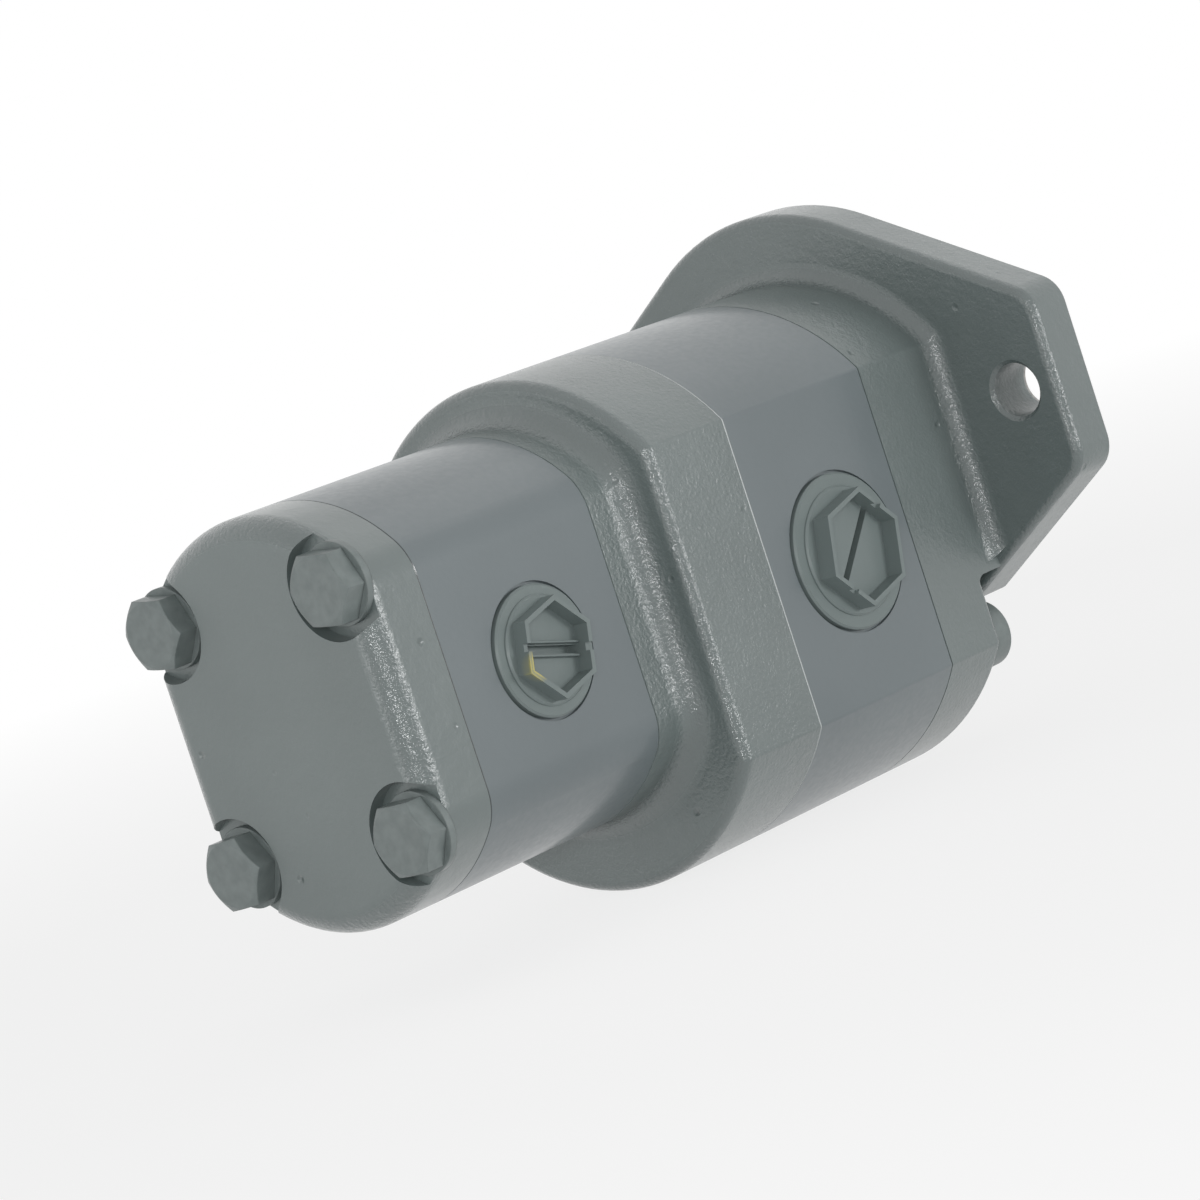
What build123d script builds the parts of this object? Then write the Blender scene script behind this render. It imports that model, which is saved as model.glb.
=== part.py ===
from build123d import *
from dataclasses import dataclass
from math import atan, cos, pi, radians, sin, sqrt, tan
import os

# Tandem external gear pump with an SAE B two-bolt flange and a splined shaft.
# The origin is the centre of the mounting face. +X runs along the shaft towards the drive,
# +Z is up, and the outlet ports open towards -Y. All lengths are in millimetres.

os.makedirs("parts", exist_ok=True)

# ---- Driving dimensions ----

# Lengths of the stacked pieces along the shaft, from the mounting face backwards
flange_thickness = 14.8
front_cover_length = 45.4
front_housing_length = 55.8
adaptor_large_length = 29.8
adaptor_small_length = 13.1
rear_housing_length = 61.7
rear_cover_thickness = 19.2

# Cross-section of each pumping section: two flats joined by large arcs
front_half_width = 50.8
front_flat_half = 40.1
front_half_height = 66.7
front_crease_radius = 1.5
rear_half_width = 39.4
rear_flat_half = 31.0
rear_half_height = 51.5
rear_crease_radius = 14.0
joint_chamfer = 0.4

# Lengths that differ by less than this count as equal where edges and corners are picked
same_length = 0.01

# SAE B two-bolt mounting
pilot_radius = 50.8
pilot_length = 9.7
pilot_chamfer = 1.2
flange_radius = 63.4
flange_half_span = 86.5
flange_hole_spacing = 146.05
flange_hole_radius = 7.15
flange_hole_chamfer = 1.0
ear_angle = 30.0
ear_corner_radius = 9.0
flange_edge_radius = 2.5
flange_root_radius = 5.0
flange_face_chamfer = 0.8
flange_cut_drop = 51.0
flange_cut_radius = 4.0
shelf_drop = 43.5
shelf_root_radius = 2.0
lobe_setback = 24.0
lobe_edge_radius = 1.5

# Cast steps of the adaptor plate and the rear cover
adaptor_rim_radius = 3.0
adaptor_root_radius = 7.0
adaptor_ledge_flat = 0.5
cover_edge_radius = 6.5
pocket_radius = 13.2
pocket_depth = 4.4

# Gears, with involute teeth of equal number in all four
gear_teeth = 12
pressure_angle = 27.0
backlash = 0.24
tip_clearance = 0.4
root_fillet = 0.6
front_centre_distance = 43.2
front_addendum = 3.6
front_gear_width = 27.0
front_journal_radius = 12.5
rear_centre_distance = 34.2
rear_addendum = 2.85
rear_gear_width = 23.7
rear_journal_radius = 9.5
journal_end_gap = 1.0
journal_chamfer = 0.8

# Bearing blocks and bushes
bush_wall = 2.0
block_gap = 0.05
face_gap = 0.05
running_gap = 0.03
press_gap = 0.02
relief_width = 5.0
relief_reach = 4.0
relief_depth = 1.5

# Involute splines of 30 degree pressure angle, diametral pitch 16/32
spline_module = 25.4 / 16
spline_pressure_angle = 30.0
input_spline_teeth = 13
input_spline_length = 30.0
input_chamfer = 1.5
shaft_projection = 41.2
coupling_spline_teeth = 9
coupling_spline_length = 17.0
coupling_radius = 13.0
coupling_bore_gap = 1.5
coupling_end_gap = 2.0
spline_gap = 0.06

# Shaft seal and the ring that holds it
seal_bore_radius = 21.0
seal_width = 8.0
seal_seat_depth = 2.0
seal_case_wall = 1.6
seal_lip_gap = 0.04
ring_thickness = 1.75
ring_groove_depth = 1.25
ring_radial_width = 3.6
ring_mouth = 14.0
shaft_tunnel_gap = 2.0

# Ports: parallel pipe threads G 3/4 and G 1/2 out, G 1 and G 3/4 in
front_port_setback = 26.2
front_port_drop = 2.2
rear_port_setback = 30.0
rear_port_drop = 1.4
thread_depth = 20.0
spot_depth = 1.2
front_outlet_drill = 12.25
front_outlet_spot = 21.0
front_outlet_passage = 9.0
front_inlet_drill = 15.4
front_inlet_spot = 23.5
front_inlet_passage = 12.0
rear_outlet_drill = 9.5
rear_outlet_spot = 17.0
rear_outlet_passage = 7.5
rear_inlet_drill = 12.25
rear_inlet_spot = 21.0
rear_inlet_passage = 9.5

# Plastic port plugs: a disc on a shank, with a hollow hexagon and a slot across it
plug_shank_length = 13.0
plug_shank_gap = 0.15
plug_shank_wall = 2.4
plug_disc_gap = 0.8
plug_disc_thickness = 2.2
plug_step_thickness = 0.9
plug_hex_wall = 1.2
plug_edge_chamfer = 0.5
plug_cup_depth = 4.6
plug_slot_width = 2.0
plug_slot_depth = 2.6
plug_notch_depth = 1.4
front_outlet_hex = 26.5
front_outlet_hex_height = 5.1
front_inlet_hex = 32.0
front_inlet_hex_height = 5.5
rear_outlet_hex = 21.7
rear_outlet_hex_height = 4.2
rear_inlet_hex = 26.5
rear_inlet_hex_height = 5.1
hex_turn = 15.0
front_slot_turn = 45.0
rear_slot_turn = -15.0

# M12 socket head screws clamp the front section, M10 hexagon bolts the rear section
front_screw_inset = 11.2
front_screw_z = 38.0
front_screw_radius = 6.0
front_screw_hole = 6.75
front_screw_head_radius = 9.0
front_screw_head_height = 12.0
front_screw_socket = 10.0
front_screw_socket_depth = 6.0
front_screw_grip = 20.5
front_counterbore = 9.9
upper_counterbore_depth = 13.0
lower_counterbore_depth = 3.4
rear_bolt_inset = 9.0
rear_bolt_rise = 30.4
rear_bolt_radius = 5.0
rear_bolt_hole = 5.5
rear_bolt_flats = 17.0
rear_bolt_head = 6.4
rear_bolt_rim = 0.5
head_chamfer_angle = 30.0
rear_bolt_turns = (8.0, -3.0, 7.0, 0.0)
rear_bolt_grip = 16.0
thread_gap = 0.05
tapping_reserve = 3.0
washer_radius = 10.25
washer_hole = 5.25
washer_thickness = 2.0
screw_chamfer = 1.0

# Joint seals, balance seals and dowels
front_seal_offset = 3.4
rear_seal_offset = 2.8
seal_band = 2.4
seal_height = 1.9
groove_gap = 0.15
balance_inset = 1.4
balance_band = 1.8
balance_height = 2.0
balance_setback = 7.0
dowel_length = 16.0
dowel_gap = 0.02
front_dowel_radius = 4.0
front_dowel_inset = 12.8
rear_dowel_radius = 3.0
rear_dowel_inset = 8.9

# ---- Values worked out from them ----

front_joint_x = -front_cover_length
adaptor_front_x = front_joint_x - front_housing_length
adaptor_step_x = adaptor_front_x - adaptor_large_length
adaptor_rear_x = adaptor_step_x - adaptor_small_length
rear_joint_x = adaptor_rear_x - rear_housing_length
rear_face_x = rear_joint_x - rear_cover_thickness
adaptor_ledge = front_half_width - rear_half_width
front_screw_y = front_half_width - front_screw_inset
front_dowel_y = front_half_width - front_dowel_inset
rear_bolt_y = rear_half_width - rear_bolt_inset
rear_dowel_y = rear_half_width - rear_dowel_inset
lobe_face_x = -lobe_setback
flange_cut_z = -flange_cut_drop
shelf_z = -shelf_drop
OUT = -1
IN = 1


@dataclass
class Section:
    """One pumping section, between the joint faces in front of and behind its gear housing."""

    front_x: float
    length: float
    half_width: float
    centre_distance: float
    addendum: float
    gear_width: float
    journal_radius: float
    seal_offset: float
    dowel_radius: float
    dowel_y: float

    @property
    def rear_x(self):
        return self.front_x - self.length

    @property
    def middle_z(self):
        return -self.centre_distance / 2

    @property
    def tip_radius(self):
        return self.centre_distance / 2 + self.addendum

    @property
    def bore_radius(self):
        return self.tip_radius + block_gap

    @property
    def block_length(self):
        return (self.length - self.gear_width) / 2 - face_gap

    @property
    def gear_front_x(self):
        return self.front_x - self.block_length - face_gap

    @property
    def gear_rear_x(self):
        return self.gear_front_x - self.gear_width

    @property
    def bush_radius(self):
        return self.journal_radius + running_gap + bush_wall

    @property
    def shaft_centres(self):
        return [(0, 0), (0, -self.centre_distance)]


front = Section(
    front_joint_x, front_housing_length, front_half_width, front_centre_distance, front_addendum,
    front_gear_width, front_journal_radius, front_seal_offset, front_dowel_radius, front_dowel_y,
)
rear = Section(
    adaptor_rear_x, rear_housing_length, rear_half_width, rear_centre_distance, rear_addendum,
    rear_gear_width, rear_journal_radius, rear_seal_offset, rear_dowel_radius, rear_dowel_y,
)

upper_screw_z = front.middle_z + front_screw_z
lower_screw_z = front.middle_z - front_screw_z
upper_screw_seat_x = -upper_counterbore_depth
lower_screw_seat_x = lobe_face_x - lower_counterbore_depth
screw_tip_x = adaptor_front_x - front_screw_grip
rear_seat_x = rear_face_x + pocket_depth
rear_bolt_tip_x = adaptor_rear_x + rear_bolt_grip


def save(part, name):
    """Label a finished piece and write it under that name."""
    part.label = name
    export_step(part, f"parts/{name}.step")


def edges_at(builder, x):
    """Edges of a piece in progress that lie at one station along the shaft."""
    return builder.edges().filter_by_position(Axis.X, x - same_length, x + same_length)


# ---- Sketches shared by several pieces ----
# Each is drawn across the shaft: its own x is Y and its own y is Z.


def body_outline(half_width, flat_half, half_height, middle_z, crease_radius):
    """Two upright flats joined by an arc at the top and at the bottom, with the creases rounded."""
    high = middle_z + flat_half
    low = middle_z - flat_half
    with BuildSketch() as outline:
        with BuildLine():
            Line((half_width, low), (half_width, high))
            ThreePointArc((half_width, high), (0, middle_z + half_height), (-half_width, high))
            Line((-half_width, high), (-half_width, low))
            ThreePointArc((-half_width, low), (0, middle_z - half_height), (half_width, low))
        make_face()
        fillet(outline.vertices(), crease_radius)
    return outline.sketch


def flange_outline(inset=0):
    """Disc with two straight-sided ears, cut level below the pilot."""
    radius = flange_radius - inset
    half_span = flange_half_span - inset
    lean = radians(ear_angle)
    touch_y = radius * sin(lean)
    touch_z = radius * cos(lean)
    corner_z = (radius - half_span * sin(lean)) / cos(lean)
    with BuildSketch() as outline:
        with BuildLine():
            ThreePointArc((-touch_y, touch_z), (0, radius), (touch_y, touch_z))
            ThreePointArc((touch_y, -touch_z), (0, -radius), (-touch_y, -touch_z))
            for side in (1, -1):
                Line((side * touch_y, touch_z), (side * half_span, corner_z))
                Line((side * half_span, corner_z), (side * half_span, -corner_z))
                Line((side * half_span, -corner_z), (side * touch_y, -touch_z))
        make_face()
        corners = outline.vertices().filter_by(lambda v: abs(abs(v.X) - half_span) < same_length)
        fillet(corners, ear_corner_radius - inset)
        with Locations((0, flange_cut_z + inset)):
            Rectangle(2 * half_span, radius, align=(Align.CENTER, Align.MAX), mode=Mode.SUBTRACT)
        fillet(outline.vertices().group_by(Axis.Y)[0], flange_cut_radius - inset)
    return outline.sketch


def toothed_disc(teeth, pitch_radius, flank_angle, tip_radius, root_radius, thickness, turn, corner=0):
    """Disc with involute teeth; turn is the angle of its first tooth, thickness is at the pitch circle."""
    angle = radians(flank_angle)
    base_radius = pitch_radius * cos(angle)
    half_at_base = thickness / (2 * pitch_radius) + tan(angle) - angle
    start_radius = max(base_radius, root_radius)
    first_roll = sqrt((start_radius / base_radius) ** 2 - 1)
    last_roll = sqrt((tip_radius / base_radius) ** 2 - 1)

    def flank(side, radius_from):
        points = []
        for step in range(5):
            roll = radius_from + (last_roll - radius_from) * step / 4
            radius = base_radius * sqrt(1 + roll**2)
            offset = half_at_base - (roll - atan(roll))
            points.append((radius * cos(side * offset), radius * sin(side * offset)))
        return points

    left = flank(1, first_roll)
    right = flank(-1, first_roll)
    inner = root_radius - 1
    foot = inner / start_radius
    with BuildSketch() as tooth:
        with BuildLine():
            Spline(*right)
            ThreePointArc(right[-1], (tip_radius, 0), left[-1])
            Spline(*left)
            Line(left[0], (left[0][0] * foot, left[0][1] * foot))
            Line((left[0][0] * foot, left[0][1] * foot), (right[0][0] * foot, right[0][1] * foot))
            Line((right[0][0] * foot, right[0][1] * foot), right[0])
        make_face()
    with BuildSketch() as disc:
        Circle(root_radius)
        with PolarLocations(0, teeth, start_angle=turn):
            add(tooth.sketch)
        if corner:
            roots = disc.vertices().filter_by(
                lambda v: abs(sqrt(v.X**2 + v.Y**2) - root_radius) < same_length
            )
            fillet(roots, corner)
    return disc.sketch


def gear_profile(section, turn):
    """Tooth form of a section's gears, with half the backlash taken from each."""
    pitch_radius = section.centre_distance / 2
    tooth_thickness = pi * pitch_radius / gear_teeth - backlash / 2
    root_radius = pitch_radius - section.addendum - tip_clearance
    return toothed_disc(
        gear_teeth,
        pitch_radius,
        pressure_angle,
        section.tip_radius,
        root_radius,
        tooth_thickness,
        turn,
        root_fillet,
    )


def spline_profile(teeth, gap=0):
    """Side-fit involute spline; gap widens it all round for the matching internal spline."""
    pitch_radius = teeth * spline_module / 2
    tip_radius = (teeth + 1) * spline_module / 2 + gap
    root_radius = (teeth - 1.35) * spline_module / 2 + gap
    thickness = pi * spline_module / 2 + 2 * gap
    return toothed_disc(teeth, pitch_radius, spline_pressure_angle, tip_radius, root_radius, thickness, 0)


def gear_chamber(section, radius):
    """Figure of eight around both shafts."""
    with BuildSketch() as chamber:
        with Locations(*section.shaft_centres):
            Circle(radius)
    return chamber.sketch


def seal_loop(section, gap=0):
    """Band around both bores for the seal of a joint; gap widens it for the groove."""
    middle_radius = section.bore_radius + section.seal_offset
    with BuildSketch() as loop:
        with Locations((0, section.middle_z)):
            outer = middle_radius + seal_band / 2 + gap
            inner = middle_radius - seal_band / 2 - gap
            SlotCenterToCenter(section.centre_distance, 2 * outer, rotation=90)
            SlotCenterToCenter(section.centre_distance, 2 * inner, rotation=90, mode=Mode.SUBTRACT)
    return loop.sketch


def balance_loop(section, gap=0):
    """Three-shaped band on the outlet side of a bearing block's back; gap widens it for the groove."""
    outer = section.tip_radius - balance_inset + gap
    inner = section.tip_radius - balance_inset - balance_band - gap
    reach = 2 * section.tip_radius + section.centre_distance
    with BuildSketch() as loop:
        add(gear_chamber(section, outer))
        add(gear_chamber(section, inner), mode=Mode.SUBTRACT)
        with Locations((-balance_setback + gap, section.middle_z)):
            Rectangle(reach, 2 * reach, align=(Align.MAX, Align.CENTER), mode=Mode.INTERSECT)
    return loop.sketch


front_outline = body_outline(
    front_half_width, front_flat_half, front_half_height, front.middle_z, front_crease_radius
)
rear_outline = body_outline(
    rear_half_width, rear_flat_half, rear_half_height, rear.middle_z, rear_crease_radius
)
upper_screws = [(front_screw_y, upper_screw_z), (-front_screw_y, upper_screw_z)]
lower_screws = [(front_screw_y, lower_screw_z), (-front_screw_y, lower_screw_z)]
rear_bolts = [
    (side * rear_bolt_y, rear.middle_z + level * rear_bolt_rise)
    for side in (1, -1)
    for level in (1, -1)
]
front_dowels = [(front.dowel_y, front.middle_z), (-front.dowel_y, front.middle_z)]
rear_dowels = [(rear.dowel_y, rear.middle_z), (-rear.dowel_y, rear.middle_z)]


def circles(centres, radius):
    """Equal circles at the given centres."""
    with BuildSketch() as group:
        with Locations(*centres):
            Circle(radius)
    return group.sketch


# ---- Front cover: one casting of flange, pilot, neck and lower lobe ----

# The casting's limits: the body's outline everywhere, the flange's outline at the front
with BuildPart() as flange_limits:
    with BuildSketch(Plane.YZ.offset(-flange_thickness)):
        add(flange_outline())
    extrude(amount=flange_thickness)
    fillet(edges_at(flange_limits, -flange_thickness), flange_edge_radius)
    chamfer(edges_at(flange_limits, 0), flange_face_chamfer)
    with BuildSketch(Plane.YZ.offset(-flange_thickness)):
        add(flange_outline(flange_edge_radius))
    extrude(amount=-2 * flange_root_radius)
    with BuildSketch(Plane.YZ.offset(front_joint_x)):
        add(front_outline)
    extrude(amount=front_cover_length - flange_thickness)

with BuildPart() as front_cover:
    with BuildSketch(Plane.YZ.offset(front_joint_x)):
        add(front_outline)
    extrude(amount=front_cover_length - flange_thickness)
    with BuildSketch(Plane.YZ.offset(-flange_thickness)):
        Rectangle(3 * flange_half_span, 3 * flange_half_span)
    extrude(amount=flange_thickness)
    # Cast fillet where the neck meets the flange, then the trim to the real outline
    root_edges = edges_at(front_cover, -flange_thickness)
    root_edges = root_edges.filter_by(lambda e: e.bounding_box().size.length < 2.5 * flange_half_span)
    fillet(root_edges, flange_root_radius)
    add(flange_limits.part, mode=Mode.INTERSECT)
    # Behind the flange the casting is cut back, so that the lower screws can be reached
    with BuildSketch(Plane.YZ.offset(lobe_face_x)):
        with Locations((0, shelf_z)):
            Rectangle(3 * front_half_width, 2 * front_half_height, align=(Align.CENTER, Align.MAX))
    extrude(amount=lobe_setback - flange_thickness, mode=Mode.SUBTRACT)
    lobe_edges = edges_at(front_cover, lobe_face_x)
    fillet(lobe_edges.filter_by(lambda e: e.center().Z < shelf_z - same_length), lobe_edge_radius)
    shelf_root = edges_at(front_cover, lobe_face_x).filter_by(
        lambda e: abs(e.center().Z - shelf_z) < same_length
    )
    fillet(shelf_root, shelf_root_radius)
    # Pilot
    with BuildSketch(Plane.YZ):
        Circle(pilot_radius)
    extrude(amount=pilot_length)
    pilot_edge = edges_at(front_cover, pilot_length)
    chamfer(pilot_edge, pilot_chamfer)
    # Seal bore, ring groove and the tunnel of the shaft
    with BuildSketch(Plane.YZ.offset(-seal_seat_depth)):
        Circle(seal_bore_radius)
    extrude(amount=seal_seat_depth + pilot_length, mode=Mode.SUBTRACT)
    with BuildSketch(Plane.YZ.offset(seal_width - seal_seat_depth)):
        Circle(seal_bore_radius + ring_groove_depth)
    extrude(amount=ring_thickness + 2 * face_gap, mode=Mode.SUBTRACT)
    with BuildSketch(Plane.YZ.offset(front_joint_x)):
        Circle(front_journal_radius + shaft_tunnel_gap)
    extrude(amount=front_cover_length, mode=Mode.SUBTRACT)
    # Flange holes, screw holes, counterbores and dowel holes
    with BuildSketch(Plane.YZ.offset(-flange_thickness)):
        with Locations((flange_hole_spacing / 2, 0), (-flange_hole_spacing / 2, 0)):
            Circle(flange_hole_radius)
    extrude(amount=flange_thickness, mode=Mode.SUBTRACT)
    hole_rims = front_cover.edges().filter_by(GeomType.CIRCLE).filter_by(
        lambda e: abs(e.radius - flange_hole_radius) < same_length and e.center().X < -same_length
    )
    chamfer(hole_rims, flange_hole_chamfer)
    with BuildSketch(Plane.YZ.offset(front_joint_x)):
        add(circles(upper_screws + lower_screws, front_screw_hole))
    extrude(amount=front_cover_length, mode=Mode.SUBTRACT)
    with BuildSketch(Plane.YZ.offset(upper_screw_seat_x)):
        add(circles(upper_screws, front_counterbore))
    extrude(amount=upper_counterbore_depth + pilot_length, mode=Mode.SUBTRACT)
    with BuildSketch(Plane.YZ.offset(lower_screw_seat_x)):
        add(circles(lower_screws, front_counterbore))
    extrude(amount=lower_counterbore_depth, mode=Mode.SUBTRACT)
    with BuildSketch(Plane.YZ.offset(front_joint_x)):
        add(circles(front_dowels, front_dowel_radius + dowel_gap))
    extrude(amount=dowel_length / 2 + face_gap, mode=Mode.SUBTRACT)
save(front_cover.part, "front_cover")


# ---- Gear housings: smooth bodies with the gear chamber through them ----


def port_plane(section, side, setback, drop):
    """Plane on a section's flat at a port, facing outwards."""
    place = (section.front_x - setback, side * section.half_width, section.middle_z - drop)
    return Plane(origin=place, x_dir=(1, 0, 0), z_dir=(0, side, 0))


front_outlet_plane = port_plane(front, OUT, front_port_setback, front_port_drop)
front_inlet_plane = port_plane(front, IN, front_port_setback, front_port_drop)
rear_outlet_plane = port_plane(rear, OUT, rear_port_setback, rear_port_drop)
rear_inlet_plane = port_plane(rear, IN, rear_port_setback, rear_port_drop)


def gear_housing(section, outline, screws, screw_hole, dowels, ports):
    """A section's body: chamber, screw and dowel holes, joint grooves and tapped ports."""
    with BuildPart() as housing:
        with BuildSketch(Plane.YZ.offset(section.rear_x)):
            add(outline)
        extrude(amount=section.length)
        ends = housing.edges().filter_by(lambda e: e.bounding_box().size.X < same_length)
        chamfer(ends, joint_chamfer)
        with BuildSketch(Plane.YZ.offset(section.rear_x)):
            add(gear_chamber(section, section.bore_radius))
            add(circles(screws, screw_hole))
        extrude(amount=section.length, mode=Mode.SUBTRACT)
        for end_x, inward in ((section.front_x, -1), (section.rear_x, 1)):
            with BuildSketch(Plane.YZ.offset(end_x)):
                add(seal_loop(section, groove_gap))
            extrude(amount=inward * seal_height, mode=Mode.SUBTRACT)
            with BuildSketch(Plane.YZ.offset(end_x)):
                add(circles(dowels, section.dowel_radius + dowel_gap))
            extrude(amount=inward * (dowel_length / 2 + face_gap), mode=Mode.SUBTRACT)
        for plane, drill, spot, passage in ports:
            with Locations(plane):
                CounterBoreHole(drill, spot, spot_depth, depth=thread_depth)
                Hole(passage, depth=section.half_width)
    return housing.part


front_gear_housing = gear_housing(
    front,
    front_outline,
    upper_screws + lower_screws,
    front_screw_hole,
    front_dowels,
    [
        (front_outlet_plane, front_outlet_drill, front_outlet_spot, front_outlet_passage),
        (front_inlet_plane, front_inlet_drill, front_inlet_spot, front_inlet_passage),
    ],
)
save(front_gear_housing, "front_gear_housing")

rear_gear_housing = gear_housing(
    rear,
    rear_outline,
    rear_bolts,
    rear_bolt_hole,
    rear_dowels,
    [
        (rear_outlet_plane, rear_outlet_drill, rear_outlet_spot, rear_outlet_passage),
        (rear_inlet_plane, rear_inlet_drill, rear_inlet_spot, rear_inlet_passage),
    ],
)
save(rear_gear_housing, "rear_gear_housing")

# ---- Adaptor plate: casting that steps down from the front outline to the rear one ----

with BuildPart() as adaptor_plate:
    with BuildSketch(Plane.YZ.offset(adaptor_step_x)):
        add(front_outline)
    extrude(amount=adaptor_large_length)
    with BuildSketch(Plane.YZ.offset(adaptor_rear_x)):
        add(rear_outline)
    extrude(amount=adaptor_small_length)
    step_edges = edges_at(adaptor_plate, adaptor_step_x)
    inner_edges = step_edges.filter_by(lambda e: e.bounding_box().max.Y < rear_half_width + same_length)
    inner_edges = inner_edges.filter_by(lambda e: e.bounding_box().min.Y > -rear_half_width - same_length)
    fillet(inner_edges, min(adaptor_root_radius, adaptor_ledge - adaptor_rim_radius - adaptor_ledge_flat))
    rim_edges = edges_at(adaptor_plate, adaptor_step_x)
    rim_edges = rim_edges.filter_by(
        lambda e: e.bounding_box().size.Y > 2 * rear_half_width + adaptor_ledge
        or abs(abs(e.center().Y) - front_half_width) < same_length
    )
    fillet(rim_edges, adaptor_rim_radius)
    # Tunnel of the coupling, tapped holes of both sets of screws, dowel holes
    with BuildSketch(Plane.YZ.offset(adaptor_rear_x)):
        Circle(coupling_radius + coupling_bore_gap)
    extrude(amount=adaptor_large_length + adaptor_small_length, mode=Mode.SUBTRACT)
    with BuildSketch(Plane.YZ.offset(adaptor_front_x)):
        add(circles(upper_screws + lower_screws, front_screw_radius + thread_gap))
    extrude(amount=-front_screw_grip - tapping_reserve, mode=Mode.SUBTRACT)
    with BuildSketch(Plane.YZ.offset(adaptor_rear_x)):
        add(circles(rear_bolts, rear_bolt_radius + thread_gap))
    extrude(amount=rear_bolt_grip + tapping_reserve, mode=Mode.SUBTRACT)
    with BuildSketch(Plane.YZ.offset(adaptor_front_x)):
        add(circles(front_dowels, front_dowel_radius + dowel_gap))
    extrude(amount=-dowel_length / 2 - face_gap, mode=Mode.SUBTRACT)
    with BuildSketch(Plane.YZ.offset(adaptor_rear_x)):
        add(circles(rear_dowels, rear_dowel_radius + dowel_gap))
    extrude(amount=dowel_length / 2 + face_gap, mode=Mode.SUBTRACT)
save(adaptor_plate.part, "adaptor_plate")

# ---- Rear cover: casting with a rounded rim and a pocket at each corner for the bolt heads ----

with BuildPart() as rear_cover:
    with BuildSketch(Plane.YZ.offset(rear_face_x)):
        add(rear_outline)
    extrude(amount=rear_cover_thickness)
    rim = edges_at(rear_cover, rear_face_x)
    fillet(rim, cover_edge_radius)
    with BuildSketch(Plane.YZ.offset(rear_face_x)):
        add(circles(rear_bolts, pocket_radius))
    extrude(amount=pocket_depth, mode=Mode.SUBTRACT)
    with BuildSketch(Plane.YZ.offset(rear_face_x)):
        add(circles(rear_bolts, rear_bolt_hole))
    extrude(amount=rear_cover_thickness, mode=Mode.SUBTRACT)
    with BuildSketch(Plane.YZ.offset(rear_joint_x)):
        add(circles(rear_dowels, rear_dowel_radius + dowel_gap))
    extrude(amount=-dowel_length / 2 - face_gap, mode=Mode.SUBTRACT)
save(rear_cover.part, "rear_cover")

# ---- Shafts with their gears, and the coupling between them ----


with BuildPart() as drive_gear_shaft:
    spline_start_x = shaft_projection - input_spline_length
    with BuildSketch(Plane.YZ.offset(spline_start_x)):
        add(spline_profile(input_spline_teeth))
    extrude(amount=input_spline_length)
    # Turned chamfer on the splined end
    input_tip_radius = (input_spline_teeth + 1) * spline_module / 2
    with BuildSketch(Plane.XZ):
        with BuildLine():
            Polyline(
                (shaft_projection, input_tip_radius + 1),
                (shaft_projection, input_tip_radius - input_chamfer),
                (shaft_projection - input_chamfer - 1, input_tip_radius + 1),
                close=True,
            )
        make_face()
    revolve(axis=Axis.X, mode=Mode.SUBTRACT)
    with BuildSketch(Plane.YZ.offset(adaptor_front_x)):
        Circle(front_journal_radius)
    extrude(amount=spline_start_x - adaptor_front_x)
    shoulder_edges = edges_at(drive_gear_shaft, spline_start_x).filter_by(GeomType.CIRCLE)
    chamfer(shoulder_edges.sort_by(SortBy.LENGTH)[-1], journal_chamfer)
    with BuildSketch(Plane.YZ.offset(front.gear_rear_x)):
        add(gear_profile(front, 0))
    extrude(amount=front_gear_width)
    with BuildSketch(Plane.YZ.offset(adaptor_front_x)):
        add(spline_profile(coupling_spline_teeth))
    extrude(amount=-coupling_spline_length)
save(drive_gear_shaft.part, "drive_gear_shaft")

with BuildPart() as rear_drive_gear_shaft:
    rear_journal_end_x = rear_joint_x + journal_end_gap
    with BuildSketch(Plane.YZ.offset(rear_journal_end_x)):
        Circle(rear_journal_radius)
    extrude(amount=adaptor_rear_x - rear_journal_end_x)
    chamfer(edges_at(rear_drive_gear_shaft, rear_journal_end_x), journal_chamfer)
    with BuildSketch(Plane.YZ.offset(rear.gear_rear_x)):
        add(gear_profile(rear, 0))
    extrude(amount=rear_gear_width)
    with BuildSketch(Plane.YZ.offset(adaptor_rear_x)):
        add(spline_profile(coupling_spline_teeth))
    extrude(amount=coupling_spline_length)
save(rear_drive_gear_shaft.part, "rear_drive_gear_shaft")


def driven_gear(section):
    """Gear and two journals on the lower axis, with a tooth space facing the drive gear."""
    end_x = section.rear_x + journal_end_gap
    start_x = section.front_x - journal_end_gap
    axis_z = -section.centre_distance
    with BuildPart() as driven:
        with BuildSketch(Plane.YZ.offset(end_x)):
            with Locations((0, axis_z)):
                Circle(section.journal_radius)
        extrude(amount=start_x - end_x)
        chamfer(edges_at(driven, end_x) + edges_at(driven, start_x), journal_chamfer)
        with BuildSketch(Plane.YZ.offset(section.gear_rear_x)):
            with Locations((0, axis_z)):
                add(gear_profile(section, 180 / gear_teeth))
        extrude(amount=section.gear_width)
    return driven.part


save(driven_gear(front), "front_driven_gear")
save(driven_gear(rear), "rear_driven_gear")

with BuildPart() as shaft_coupling:
    coupling_start_x = adaptor_rear_x + coupling_end_gap
    coupling_length = adaptor_large_length + adaptor_small_length - 2 * coupling_end_gap
    with BuildSketch(Plane.YZ.offset(coupling_start_x)):
        Circle(coupling_radius)
        add(spline_profile(coupling_spline_teeth, spline_gap), mode=Mode.SUBTRACT)
    extrude(amount=coupling_length)
    outer_ends = shaft_coupling.edges().filter_by(GeomType.CIRCLE).filter_by(
        lambda e: abs(e.radius - coupling_radius) < same_length
    )
    chamfer(outer_ends, journal_chamfer)
save(shaft_coupling.part, "shaft_coupling")

# ---- Bearing blocks, bushes and the seals on their backs ----


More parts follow.
